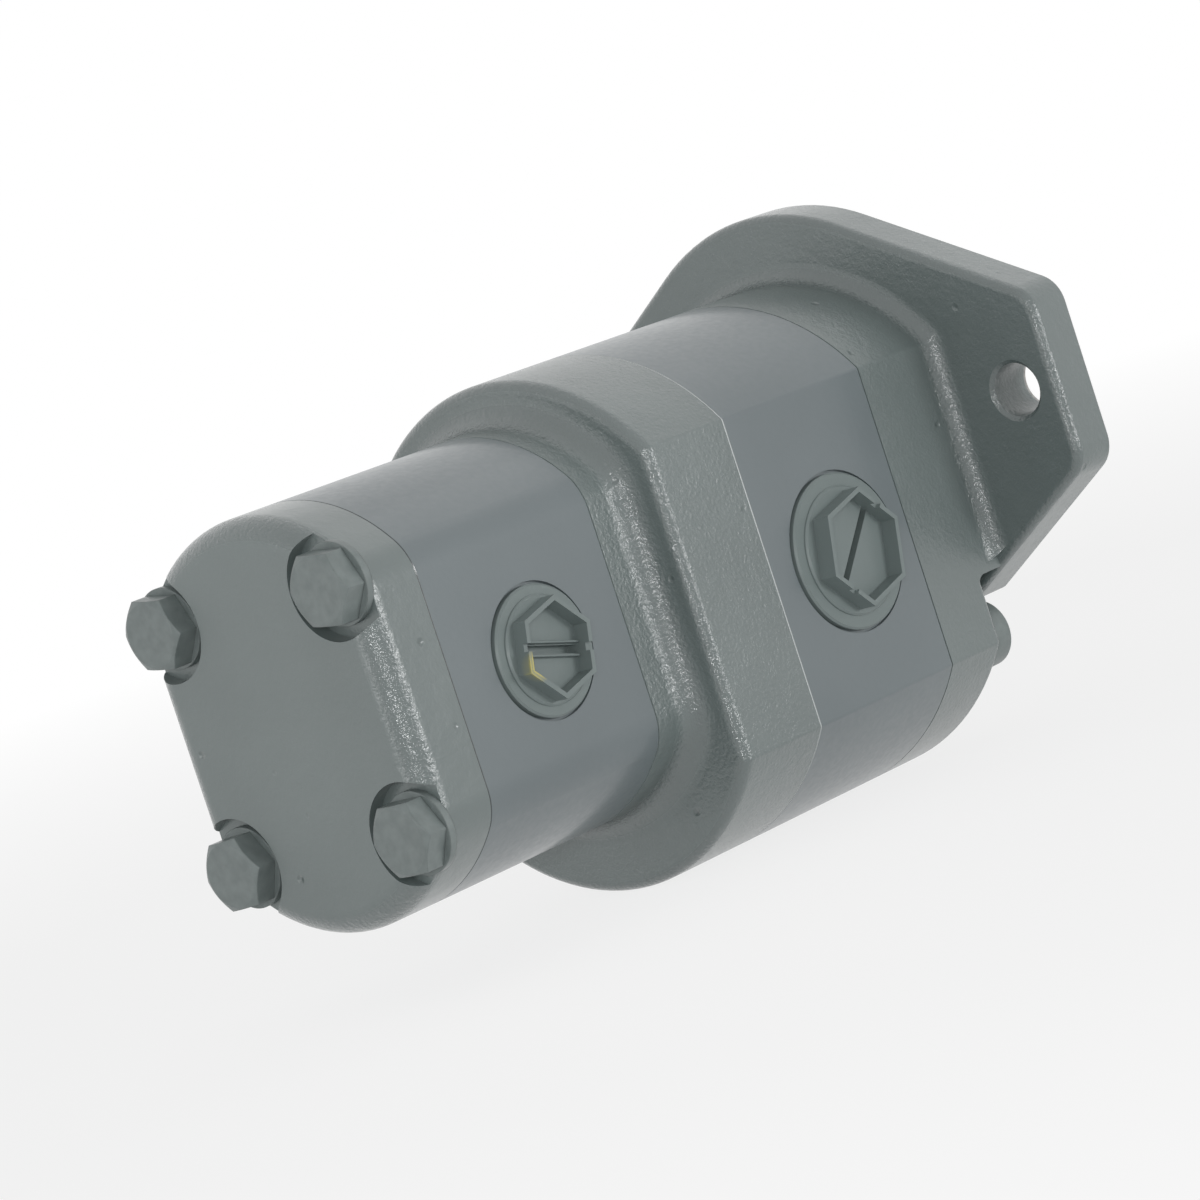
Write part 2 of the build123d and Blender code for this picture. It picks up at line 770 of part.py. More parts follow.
def bearing_block(section, back_x, inward):
    """Figure-of-eight block; back_x is its sealed back and inward points to the gears."""
    gear_face_x = back_x + inward * section.block_length
    with BuildPart() as block:
        with BuildSketch(Plane.YZ.offset(back_x)):
            add(gear_chamber(section, section.tip_radius))
            add(circles(section.shaft_centres, section.bush_radius + press_gap), mode=Mode.SUBTRACT)
        extrude(amount=inward * section.block_length)
        with BuildSketch(Plane.YZ.offset(back_x)):
            add(balance_loop(section, groove_gap))
        extrude(amount=inward * balance_height, mode=Mode.SUBTRACT)
        # Relief pockets for the oil trapped between meshing teeth, open to each port
        with BuildSketch(Plane.YZ.offset(gear_face_x)):
            with Locations((relief_reach, section.middle_z), (-relief_reach, section.middle_z)):
                RectangleRounded(relief_width, relief_width, relief_width / 5)
        extrude(amount=-inward * relief_depth, mode=Mode.SUBTRACT)
    return block.part


def bushes(section):
    """Plain bushes pressed into the section's two blocks, four in all."""
    with BuildPart() as group:
        for back_x, inward in ((section.front_x, -1), (section.rear_x, 1)):
            with BuildSketch(Plane.YZ.offset(back_x)):
                bore = section.journal_radius + running_gap
                add(circles(section.shaft_centres, section.bush_radius))
                add(circles(section.shaft_centres, bore), mode=Mode.SUBTRACT)
            extrude(amount=inward * section.block_length)
    return group.part


def joint_seals(section):
    """Rings that seal the two joints of a gear housing."""
    with BuildPart() as group:
        for end_x, inward in ((section.front_x, -1), (section.rear_x, 1)):
            with BuildSketch(Plane.YZ.offset(end_x)):
                add(seal_loop(section))
            extrude(amount=inward * seal_height)
    return group.part


def balance_seals(section):
    """Seals in the backs of the two blocks."""
    with BuildPart() as group:
        for end_x, inward in ((section.front_x, -1), (section.rear_x, 1)):
            with BuildSketch(Plane.YZ.offset(end_x)):
                add(balance_loop(section))
            extrude(amount=inward * balance_height)
    return group.part


for section, name in ((front, "front_section"), (rear, "rear_section")):
    save(bearing_block(section, section.front_x, -1), f"{name}_front_bearing_block")
    save(bearing_block(section, section.rear_x, 1), f"{name}_rear_bearing_block")
    save(bushes(section), f"{name}_bushes")
    save(joint_seals(section), f"{name}_joint_seals")
    save(balance_seals(section), f"{name}_balance_seals")


# ---- Shaft seal and retaining ring ----

with BuildPart() as shaft_seal:
    seal_back_x = -seal_seat_depth
    seal_front_x = seal_back_x + seal_width
    lip_radius = front_journal_radius + seal_lip_gap
    case_inner = seal_bore_radius - seal_case_wall - press_gap
    with BuildSketch(Plane.XZ):
        with BuildLine():
            Polyline(
                (seal_back_x, seal_bore_radius - press_gap),
                (seal_front_x, seal_bore_radius - press_gap),
                (seal_front_x, lip_radius + 2 * seal_case_wall),
                (seal_front_x - seal_case_wall / 2, lip_radius),
                (seal_front_x - 2 * seal_case_wall, lip_radius + seal_case_wall),
                (seal_back_x + 2 * seal_case_wall, lip_radius + seal_case_wall / 2),
                (seal_back_x + seal_case_wall, lip_radius),
                (seal_back_x + seal_case_wall / 2, lip_radius + 1.5 * seal_case_wall),
                (seal_front_x - 2 * seal_case_wall, lip_radius + 2.5 * seal_case_wall),
                (seal_front_x - 2 * seal_case_wall, case_inner),
                (seal_back_x, case_inner),
                close=True,
            )
        make_face()
    revolve(axis=Axis.X)
save(shaft_seal.part, "shaft_seal")

with BuildPart() as seal_retaining_ring:
    ring_outer = seal_bore_radius + ring_groove_depth - face_gap
    ring_inner = ring_outer - ring_radial_width
    with BuildSketch(Plane.YZ.offset(seal_width - seal_seat_depth + face_gap)):
        Circle(ring_outer)
        Circle(ring_inner, mode=Mode.SUBTRACT)
        # Mouth at the bottom, with an eye on each side for the pliers
        with Locations((0, -ring_outer)):
            Rectangle(ring_mouth, 4 * ring_radial_width, mode=Mode.SUBTRACT)
        with Locations((ring_mouth / 2, 1 - ring_inner), (-ring_mouth / 2, 1 - ring_inner)):
            Circle(ring_radial_width * 0.75)
            Circle(ring_radial_width * 0.3, mode=Mode.SUBTRACT)
    extrude(amount=ring_thickness)
save(seal_retaining_ring.part, "seal_retaining_ring")

# ---- Dowels ----


def dowel_pair(joint_x, section):
    """Two plain dowels across a joint."""
    with BuildPart() as pair:
        with BuildSketch(Plane.YZ.offset(joint_x - dowel_length / 2)):
            add(circles([(section.dowel_y, section.middle_z), (-section.dowel_y, section.middle_z)],
                        section.dowel_radius))
        extrude(amount=dowel_length)
    return pair.part


save(dowel_pair(front.front_x, front), "front_cover_dowels")
save(dowel_pair(front.rear_x, front), "adaptor_front_dowels")
save(dowel_pair(rear.front_x, rear), "adaptor_rear_dowels")
save(dowel_pair(rear.rear_x, rear), "rear_cover_dowels")

# ---- Screws, bolts and washers ----


def socket_screws(centres, seat_x):
    """M12 socket head screws from a seat forwards of the joint to their tips in the adaptor plate."""
    with BuildPart() as group:
        with BuildSketch(Plane.YZ.offset(screw_tip_x)):
            add(circles(centres, front_screw_radius))
        extrude(amount=seat_x - screw_tip_x)
        with BuildSketch(Plane.YZ.offset(seat_x)):
            add(circles(centres, front_screw_head_radius))
        extrude(amount=front_screw_head_height)
        top_x = seat_x + front_screw_head_height
        chamfer(edges_at(group, top_x) + edges_at(group, screw_tip_x), screw_chamfer)
        with BuildSketch(Plane.YZ.offset(top_x)):
            with Locations(*centres):
                RegularPolygon(front_screw_socket / 2, 6, major_radius=False)
        extrude(amount=-front_screw_socket_depth, mode=Mode.SUBTRACT)
    return group.part


save(socket_screws(upper_screws, upper_screw_seat_x), "upper_clamp_screws")
save(socket_screws(lower_screws, lower_screw_seat_x), "lower_clamp_screws")

with BuildPart() as rear_bolt_washers:
    with BuildSketch(Plane.YZ.offset(rear_seat_x)):
        add(circles(rear_bolts, washer_radius))
        add(circles(rear_bolts, washer_hole), mode=Mode.SUBTRACT)
    extrude(amount=-washer_thickness)
save(rear_bolt_washers.part, "rear_bolt_washers")

# Hexagon head at the origin, its outer face turned to a round chamfer
with BuildPart() as hexagon_head:
    with BuildSketch(Plane.YZ):
        RegularPolygon(rear_bolt_flats / 2, 6, major_radius=False)
    extrude(amount=rear_bolt_head)
    chamfer_top = rear_bolt_flats / 2 - rear_bolt_rim
    chamfer_foot = chamfer_top + rear_bolt_head / tan(radians(head_chamfer_angle))
    with BuildSketch(Plane.XZ):
        with BuildLine():
            Polyline(
                (0, 0),
                (0, chamfer_top),
                (rear_bolt_head, chamfer_foot),
                (rear_bolt_head, 0),
                close=True,
            )
        make_face()
    revolve(axis=Axis.X, mode=Mode.INTERSECT)

with BuildPart() as rear_cover_bolts:
    bolt_seat_x = rear_seat_x - washer_thickness
    bolt_top_x = bolt_seat_x - rear_bolt_head
    with BuildSketch(Plane.YZ.offset(bolt_seat_x)):
        add(circles(rear_bolts, rear_bolt_radius))
    extrude(amount=rear_bolt_tip_x - bolt_seat_x)
    chamfer(edges_at(rear_cover_bolts, rear_bolt_tip_x), screw_chamfer)
    for (bolt_y, bolt_z), turn in zip(rear_bolts, rear_bolt_turns):
        with Locations(Location((bolt_top_x, bolt_y, bolt_z), (turn, 0, 0))):
            add(hexagon_head.part)
save(rear_cover_bolts.part, "rear_cover_bolts")

# ---- Port plugs ----


def port_plug(plane, drill, spot, hex_flats, hex_height, hex_turn, slot_turn):
    """Plastic plug seated in the spot face: shank, disc, step and hollow hexagon with a slot across."""
    seat = plane.offset(-spot_depth)
    outward = Axis(seat.origin, seat.z_dir)
    shank_radius = drill - plug_shank_gap
    step_top = plug_disc_thickness + plug_step_thickness
    rim_top = step_top + hex_height
    cup_floor = rim_top - plug_cup_depth
    with BuildPart() as plug:
        with BuildSketch(seat.offset(-plug_shank_length)):
            Circle(shank_radius)
        extrude(amount=plug_shank_length)
        with BuildSketch(seat):
            Circle(spot - plug_disc_gap)
        extrude(amount=plug_disc_thickness)
        chamfer(plug.faces().sort_by(outward)[-1].edges(), plug_edge_chamfer)
        with BuildSketch(seat.offset(plug_disc_thickness)):
            Circle((spot - plug_disc_gap + hex_flats / 2) / 2)
        extrude(amount=plug_step_thickness)
        chamfer(plug.faces().sort_by(outward)[-1].edges(), plug_edge_chamfer)
        with BuildSketch(seat.offset(step_top)):
            RegularPolygon(hex_flats / 2, 6, major_radius=False, rotation=hex_turn)
        extrude(amount=hex_height)
        with BuildSketch(seat.offset(rim_top)):
            RegularPolygon(hex_flats / 2 - plug_hex_wall, 6, major_radius=False, rotation=hex_turn)
        extrude(amount=-plug_cup_depth, mode=Mode.SUBTRACT)
        with BuildSketch(seat.offset(rim_top)):
            Rectangle(hex_flats + 1, plug_slot_width, rotation=slot_turn)
        extrude(amount=-plug_notch_depth, mode=Mode.SUBTRACT)
        with BuildSketch(seat.offset(cup_floor)):
            Rectangle(hex_flats - 2 * plug_hex_wall, plug_slot_width, rotation=slot_turn)
        extrude(amount=-plug_slot_depth, mode=Mode.SUBTRACT)
        with BuildSketch(seat.offset(-plug_shank_length)):
            Circle(shank_radius - plug_shank_wall)
        extrude(amount=plug_shank_length - plug_shank_wall, mode=Mode.SUBTRACT)
    return plug.part


save(
    port_plug(front_outlet_plane, front_outlet_drill, front_outlet_spot, front_outlet_hex,
              front_outlet_hex_height, hex_turn, front_slot_turn),
    "front_outlet_plug",
)
save(
    port_plug(front_inlet_plane, front_inlet_drill, front_inlet_spot, front_inlet_hex,
              front_inlet_hex_height, hex_turn, front_slot_turn),
    "front_inlet_plug",
)
save(
    port_plug(rear_outlet_plane, rear_outlet_drill, rear_outlet_spot, rear_outlet_hex,
              rear_outlet_hex_height, hex_turn, rear_slot_turn),
    "rear_outlet_plug",
)
save(
    port_plug(rear_inlet_plane, rear_inlet_drill, rear_inlet_spot, rear_inlet_hex,
              rear_inlet_hex_height, hex_turn, rear_slot_turn),
    "rear_inlet_plug",
)
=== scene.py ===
import bpy
import math
from mathutils import Euler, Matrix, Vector


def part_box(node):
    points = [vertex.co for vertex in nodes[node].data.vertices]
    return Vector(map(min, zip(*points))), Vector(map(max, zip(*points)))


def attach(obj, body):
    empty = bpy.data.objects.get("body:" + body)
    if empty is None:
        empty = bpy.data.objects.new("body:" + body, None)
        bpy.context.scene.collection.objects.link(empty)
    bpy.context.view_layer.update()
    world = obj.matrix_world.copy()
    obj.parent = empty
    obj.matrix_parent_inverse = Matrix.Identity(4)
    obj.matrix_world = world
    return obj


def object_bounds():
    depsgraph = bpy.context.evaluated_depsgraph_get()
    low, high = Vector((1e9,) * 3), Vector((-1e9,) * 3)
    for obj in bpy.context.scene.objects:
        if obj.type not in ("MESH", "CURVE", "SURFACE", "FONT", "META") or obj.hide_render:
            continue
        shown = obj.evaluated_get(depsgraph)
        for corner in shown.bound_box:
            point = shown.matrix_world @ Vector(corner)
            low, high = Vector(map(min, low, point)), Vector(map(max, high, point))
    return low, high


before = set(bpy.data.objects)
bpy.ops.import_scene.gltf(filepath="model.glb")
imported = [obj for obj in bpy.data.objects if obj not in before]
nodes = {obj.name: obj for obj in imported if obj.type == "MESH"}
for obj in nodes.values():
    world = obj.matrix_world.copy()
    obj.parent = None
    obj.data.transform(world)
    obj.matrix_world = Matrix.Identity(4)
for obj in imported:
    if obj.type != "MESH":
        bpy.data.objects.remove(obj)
cad_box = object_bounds()

# ---- Camera ----
# A long lens behind the pump on its outlet side, a little above the shaft and rolled.
# The lens and its sensor are in millimetres, and every other length in this file is in metres.

camera_data = bpy.data.cameras.new("camera")
camera_data.sensor_width = 36
camera_data.lens = 131.1
camera_data.clip_start = 0.05
camera_data.clip_end = 60
camera = bpy.data.objects.new("camera", camera_data)
camera.location = (-0.9046, -0.7714, 0.0656)
camera.rotation_euler = Euler([math.radians(angle) for angle in (85.527, 18.088, -47.251)])
bpy.context.scene.collection.objects.link(camera)
bpy.context.scene.camera = camera

# ---- Gear housings ----
# Grey iron bodies with milled outsides and ground joint faces, clamped between the castings.
# They are sprayed with grey enamel after assembly. Painted highlights lie along the joints, the one at the
# front cover faint, and the joint at the rear cover is a dark line.

ENAMEL_DEEP = "#6C7679"
ENAMEL_PALE = "#737D80"
SHADE_SPACING = 0.06
PEEL_SPACING = 0.0018
PEEL_HEIGHT = 0.00005
HOUSING_ROUGHNESS = (0.36, 0.46)
# A near-white painted highlight along a joint, and the dark colour of the open joint at the rear cover
JOINT_PAINTED_HIGHLIGHT = "#EEF2F2"
JOINT_DARK = "#2E3737"
JOINT_HALF_WIDTH = 0.00045
JOINT_SHARP_SHARE = 0.6
JOINT_HIGHLIGHT_STRONG = 0.9
JOINT_HIGHLIGHT_FAINT = 0.15
JOINT_OPEN = 1.0
# A noise texture seldom leaves the wide range, and the narrow one gives its middle more contrast
NOISE_WIDE = (0.3, 0.7)
NOISE_NARROW = (0.35, 0.65)


def srgb(code):
    """Linear colour of a hex sRGB code."""
    channels = [int(code[i:i + 2], 16) / 255 for i in (1, 3, 5)]
    return [c / 12.92 if c <= 0.04045 else ((c + 0.055) / 1.055) ** 2.4 for c in channels] + [1.0]


def feed(node, inputs):
    """Set inputs of a node, by name or number, each to a value or to the socket that feeds it."""
    for key, value in inputs.items():
        if isinstance(value, bpy.types.NodeSocket):
            node.id_data.links.new(value, node.inputs[key])
        else:
            node.inputs[key].default_value = value


def put(tree, kind, inputs=None, **settings):
    """Add a node with its settings and its inputs, and give its outputs.

    A Mix of colours has its share at 0, its colours at 6 and 7 and its result at 2.
    """
    made = tree.nodes.new(kind)
    for key, value in settings.items():
        setattr(made, key, value)
    feed(made, inputs or {})
    return made.outputs


def finish(name):
    """New material with its tree, its shader and the Object coordinates."""
    made = bpy.data.materials.new(name)
    made.use_nodes = True
    shader = made.node_tree.nodes["Principled BSDF"]
    place = put(made.node_tree, "ShaderNodeTexCoord")["Object"]
    return made, made.node_tree, shader, place


def dress(names, material):
    """Put one material on all of each named solid."""
    for name in names:
        for slot in nodes[name].material_slots:
            slot.material = material


def drifting(tree, place, deep, pale):
    """Colour of a sprayed film, which drifts between two near shades as its thickness does."""
    shade = put(tree, "ShaderNodeTexNoise", {"Vector": place, "Scale": 1 / SHADE_SPACING})["Fac"]
    shade = put(tree, "ShaderNodeMapRange", {
        "Value": shade, "From Min": NOISE_NARROW[0], "From Max": NOISE_NARROW[1]})[0]
    return put(tree, "ShaderNodeMix", {0: shade, 6: srgb(deep), 7: srgb(pale)}, data_type="RGBA")[2]


def orange_peel(tree, place, roughness):
    """Gloss and bump of a sprayed film, which dries in faint waves like the skin of an orange."""
    peel = put(tree, "ShaderNodeTexNoise", {"Vector": place, "Scale": 1 / PEEL_SPACING})["Fac"]
    gloss = put(tree, "ShaderNodeMapRange", {
        "Value": peel, "From Min": NOISE_WIDE[0], "From Max": NOISE_WIDE[1],
        "To Min": roughness[0], "To Max": roughness[1]})[0]
    bump = put(tree, "ShaderNodeBump", {"Height": peel, "Distance": PEEL_HEIGHT})[0]
    return gloss, bump


def housing_enamel(name, joints):
    """Semi-gloss alkyd enamel sprayed on milled iron: even grey with a faint orange peel.

    joints holds the place of each joint along the shaft, its colour and how strongly it shows: pale
    colours are painted highlights along the joint, the dark one is the joint line.
    """
    made, tree, shader, place = finish(name)
    colour = drifting(tree, place, ENAMEL_DEEP, ENAMEL_PALE)
    along = put(tree, "ShaderNodeSeparateXYZ", {0: place})["X"]
    for joint_x, joint_dark_line_and_highlight, strength in joints:
        away = put(tree, "ShaderNodeMath", {0: along, 1: joint_x}, operation="SUBTRACT")[0]
        away = put(tree, "ShaderNodeMath", {0: away}, operation="ABSOLUTE")[0]
        # A pale colour paints a highlight along the joint, and the dark one draws the joint line
        line = put(tree, "ShaderNodeMapRange", {
            "Value": away, "From Min": JOINT_HALF_WIDTH, "From Max": JOINT_HALF_WIDTH * JOINT_SHARP_SHARE,
            "To Min": 0, "To Max": strength})[0]
        colour = put(tree, "ShaderNodeMix", {0: line, 6: colour, 7: srgb(joint_dark_line_and_highlight)},
                     data_type="RGBA")[2]
    gloss, bump = orange_peel(tree, place, HOUSING_ROUGHNESS)
    feed(shader, {
        "Base Color": colour, "Roughness": gloss, "Normal": bump,
        "Specular IOR Level": 0.6, "Coat Weight": 0.5, "Coat Roughness": 0.16})
    return made


front_low, front_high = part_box("front_gear_housing")
rear_low, rear_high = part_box("rear_gear_housing")
# Painted highlights along the adaptor joints and, fainter, the front cover joint; the rear cover joint is
# dark
dress(["front_gear_housing"], housing_enamel("front_housing_enamel", [
    (front_low.x, JOINT_PAINTED_HIGHLIGHT, JOINT_HIGHLIGHT_STRONG), (front_high.x, JOINT_PAINTED_HIGHLIGHT, JOINT_HIGHLIGHT_FAINT)]))
dress(["rear_gear_housing"], housing_enamel("rear_housing_enamel", [
    (rear_high.x, JOINT_PAINTED_HIGHLIGHT, JOINT_HIGHLIGHT_STRONG), (rear_low.x, JOINT_DARK, JOINT_OPEN)]))

# ---- Castings: front cover, adaptor plate and rear cover ----
# Grey iron cast in green sand, so the skin is grainy and has a few pits, most of all at its edges.
# The same enamel lies over it, except on the mounting face and pilot, which are turned and left bare.

CAST_DEEP = "#697473"
CAST_PALE = "#737E7D"
CAST_ROUGHNESS = 0.38
EDGE_ROUGHNESS = 0.17
# Moulding sand leaves a grain of about 0.3 mm, too fine to show, so it is drawn coarser
SAND_SPACING = 0.0011
FLANGE_SAND_HEIGHT = 0.00018
ADAPTOR_SAND_HEIGHT = 0.00028
REAR_COVER_SAND_HEIGHT = 0.00009
EDGE_SAND_HEIGHT = 0.00032
SWELL_SPACING = 0.006
SWELL_HEIGHT = 0.0002
PIT_SPACING = 0.016
PIT_RADIUS = 0.0012
PIT_FLOOR_RADIUS = 0.00048
PIT_DEPTH = 0.0003
# The pits are also coloured darker, a painted shade in their hollows
PIT_PAINTED_SHADE = "#667170"
# How far a normal points along the shaft, where a wall or a face ends and where a fillet begins
WALL_TO_FILLET = (0.05, 0.35)
FACE_TO_FILLET = (0.995, 0.93)
IRON_DARK = "#8F8F8D"
IRON_LIGHT = "#A3A29F"
IRON_METALLIC = 0.9
BARE_FROM_X = -0.0007
PAINT_EDGE_WIDTH = 0.0002
# A turning tool moves about 0.2 mm a turn, too fine to show, so its rings are drawn coarser
TURNING_PITCH = 0.0009
RING_WAVER = 0.4
WAVE_LENGTH_AT_SCALE_1 = 0.314


def cast_enamel(name, sand_height, bare_face=False):
    """Enamel on sand-cast iron: rough, with small glints along the edges; bare_face adds turned iron."""
    made, tree, shader, place = finish(name)
    colour = drifting(tree, place, CAST_DEEP, CAST_PALE)
    # Walls lie along the shaft and faces across it, so whatever slopes to it is a fillet or a rim
    facing = put(tree, "ShaderNodeSeparateXYZ", {0: put(tree, "ShaderNodeNewGeometry")["Normal"]})["X"]
    facing = put(tree, "ShaderNodeMath", {0: facing}, operation="ABSOLUTE")[0]
    off_wall = put(tree, "ShaderNodeMapRange", {
        "Value": facing, "From Min": WALL_TO_FILLET[0], "From Max": WALL_TO_FILLET[1]})[0]
    off_face = put(tree, "ShaderNodeMapRange", {
        "Value": facing, "From Min": FACE_TO_FILLET[0], "From Max": FACE_TO_FILLET[1]})[0]
    edges = put(tree, "ShaderNodeMath", {0: off_wall, 1: off_face}, operation="MULTIPLY")[0]
    sand = put(tree, "ShaderNodeTexNoise", {
        "Vector": place, "Scale": 1 / SAND_SPACING, "Detail": 3, "Roughness": 0.6})["Fac"]
    grain = put(tree, "ShaderNodeMapRange", {
        "Value": edges, "To Min": sand_height, "To Max": EDGE_SAND_HEIGHT})[0]
    height = put(tree, "ShaderNodeMath", {0: sand, 1: grain}, operation="MULTIPLY")[0]
    swell = put(tree, "ShaderNodeTexNoise", {"Vector": place, "Scale": 1 / SWELL_SPACING})["Fac"]
    height = put(tree, "ShaderNodeMath", {0: swell, 1: SWELL_HEIGHT, 2: height},
                 operation="MULTIPLY_ADD")[0]
    cells = put(tree, "ShaderNodeTexVoronoi", {"Vector": place, "Scale": 1 / PIT_SPACING})["Distance"]
    pits = put(tree, "ShaderNodeMapRange", {
        "Value": cells, "From Min": PIT_FLOOR_RADIUS / PIT_SPACING, "From Max": PIT_RADIUS / PIT_SPACING,
        "To Min": 1, "To Max": 0})[0]
    height = put(tree, "ShaderNodeMath", {0: pits, 1: -PIT_DEPTH, 2: height},
                 operation="MULTIPLY_ADD")[0]
    # Colour the pits darker, as painted shade in their hollows
    colour = put(tree, "ShaderNodeMix", {0: pits, 6: colour, 7: srgb(PIT_PAINTED_SHADE)}, data_type="RGBA")[2]
    gloss = put(tree, "ShaderNodeMapRange", {
        "Value": edges, "To Min": CAST_ROUGHNESS, "To Max": EDGE_ROUGHNESS})[0]
    if bare_face:
        along = put(tree, "ShaderNodeSeparateXYZ", {0: place})["X"]
        bare = put(tree, "ShaderNodeMapRange", {
            "Value": along, "From Min": BARE_FROM_X - PAINT_EDGE_WIDTH, "From Max": BARE_FROM_X})[0]
        rings = put(tree, "ShaderNodeTexWave", {
            "Vector": place, "Scale": WAVE_LENGTH_AT_SCALE_1 / TURNING_PITCH, "Distortion": RING_WAVER},
            wave_type="RINGS", rings_direction="X")["Fac"]
        iron = put(tree, "ShaderNodeMix", {0: rings, 6: srgb(IRON_DARK), 7: srgb(IRON_LIGHT)},
                   data_type="RGBA")[2]
        colour = put(tree, "ShaderNodeMix", {0: bare, 6: colour, 7: iron}, data_type="RGBA")[2]
        metallic = put(tree, "ShaderNodeMath", {0: bare, 1: IRON_METALLIC}, operation="MULTIPLY")[0]
        painted = put(tree, "ShaderNodeMath", {0: 1, 1: bare}, operation="SUBTRACT")[0]
        height = put(tree, "ShaderNodeMath", {0: height, 1: painted}, operation="MULTIPLY")[0]
        feed(shader, {"Metallic": metallic})
    # The height is in metres already, so the bump takes it as it is
    bump = put(tree, "ShaderNodeBump", {"Height": height, "Distance": 1})[0]
    feed(shader, {
        "Base Color": colour, "Roughness": gloss, "Normal": bump, "Coat Normal": bump,
        "Specular IOR Level": 0.7, "Coat Weight": 0.6, "Coat Roughness": 0.13})
    return made


dress(["front_cover"], cast_enamel("flange_enamel", FLANGE_SAND_HEIGHT, bare_face=True))
dress(["adaptor_plate"], cast_enamel("adaptor_enamel", ADAPTOR_SAND_HEIGHT))
dress(["rear_cover"], cast_enamel("rear_cover_enamel", REAR_COVER_SAND_HEIGHT))

# ---- Hexagon bolts, washers and lower clamp screws ----
# Forged steel fasteners that were in place when the pump was sprayed, so they carry its enamel,
# a little thicker and rounder on their edges.

BOLT_DEEP = "#798281"
BOLT_PALE = "#858E8D"
BOLT_ROUGHNESS = (0.3, 0.42)
BOLT_EDGE_RADIUS = 0.0005
FORGED_SPACING = 0.003
FORGED_HEIGHT = 0.0001


def bolt_enamel():
    """Enamel on forged steel: soft waves under an even semi-gloss grey."""
    made, tree, shader, place = finish("bolt_enamel")
    forged = put(tree, "ShaderNodeTexNoise", {"Vector": place, "Scale": 1 / FORGED_SPACING})["Fac"]
    shade = put(tree, "ShaderNodeMapRange", {
        "Value": forged, "From Min": NOISE_WIDE[0], "From Max": NOISE_WIDE[1]})[0]
    colour = put(tree, "ShaderNodeMix", {0: shade, 6: srgb(BOLT_DEEP), 7: srgb(BOLT_PALE)},
                 data_type="RGBA")[2]
    gloss = put(tree, "ShaderNodeMapRange", {
        "Value": shade, "To Min": BOLT_ROUGHNESS[0], "To Max": BOLT_ROUGHNESS[1]})[0]
    rounded = put(tree, "ShaderNodeBevel", {"Radius": BOLT_EDGE_RADIUS}, samples=6)[0]
    bump = put(tree, "ShaderNodeBump", {
        "Height": forged, "Distance": FORGED_HEIGHT, "Normal": rounded})[0]
    feed(shader, {"Base Color": colour, "Roughness": gloss, "Normal": bump})
    return made


dress(["rear_cover_bolts", "rear_bolt_washers", "lower_clamp_screws"], bolt_enamel())

# ---- Port plugs ----
# Polyethylene plugs, injection moulded in yellow, that close the ports until the pump is fitted.
# They were sprayed over with the pump, and the enamel has rubbed off a rim of the small one.

PLUG_ENAMEL = "#7D8887"
PLUG_YELLOW = "#D8CB6A"
PLUG_ROUGHNESS = (0.36, 0.48)
PLUG_EDGE_RADIUS = 0.0012
WORN_RADIUS = 0.0042
WORN_FROM_AXIS = (-0.0092, -0.0022)
# Cosine between the true normal and a rounded one: 0.999 is a flat and 0.9 is a sharp edge
FLAT_TO_EDGE = (0.999, 0.9)
FLAT_WEAR = 0.25
RIB_LENGTH = 0.0190
RIB_THICKNESS = 0.0008
RIB_HEIGHT = 0.0016
RIB_SPACING = 0.0033
RIB_TURN = 15
RIB_TOP_LENGTH_SHARE = 0.97
RIB_TOP_THICKNESS_SHARE = 0.7
RIB_ROUNDING = RIB_THICKNESS * 0.25
CUP_DEPTH = 0.0046

plug_low, plug_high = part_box("rear_outlet_plug")
plug_middle = (plug_low + plug_high) / 2
worn_spot = (plug_middle.x + WORN_FROM_AXIS[0], plug_low.y, plug_middle.z + WORN_FROM_AXIS[1])


def plug_enamel():
    """Enamel on moulded polyethylene: thin and even, with the yellow showing where it is rubbed off."""
    made, tree, shader, place = finish("plug_enamel")
    away = put(tree, "ShaderNodeVectorMath", {0: place, 1: worn_spot}, operation="DISTANCE")["Value"]
    near = put(tree, "ShaderNodeMapRange", {
        "Value": away, "From Min": WORN_RADIUS, "From Max": WORN_RADIUS * 0.5})[0]
    rounded = put(tree, "ShaderNodeBevel", {"Radius": PLUG_EDGE_RADIUS}, samples=6)[0]
    flat = put(tree, "ShaderNodeNewGeometry")["Normal"]
    same = put(tree, "ShaderNodeVectorMath", {0: rounded, 1: flat}, operation="DOT_PRODUCT")["Value"]
    edges = put(tree, "ShaderNodeMapRange", {
        "Value": same, "From Min": FLAT_TO_EDGE[0], "From Max": FLAT_TO_EDGE[1], "To Min": FLAT_WEAR})[0]
    worn = put(tree, "ShaderNodeMath", {0: near, 1: edges}, operation="MULTIPLY")[0]
    colour = put(tree, "ShaderNodeMix", {0: worn, 6: srgb(PLUG_ENAMEL), 7: srgb(PLUG_YELLOW)},
                 data_type="RGBA")[2]
    gloss, bump = orange_peel(tree, place, PLUG_ROUGHNESS)
    feed(shader, {"Base Color": colour, "Roughness": gloss, "Normal": bump})
    return made


plug_finish = plug_enamel()
dress(["front_outlet_plug", "front_inlet_plug", "rear_outlet_plug", "rear_inlet_plug"], plug_finish)


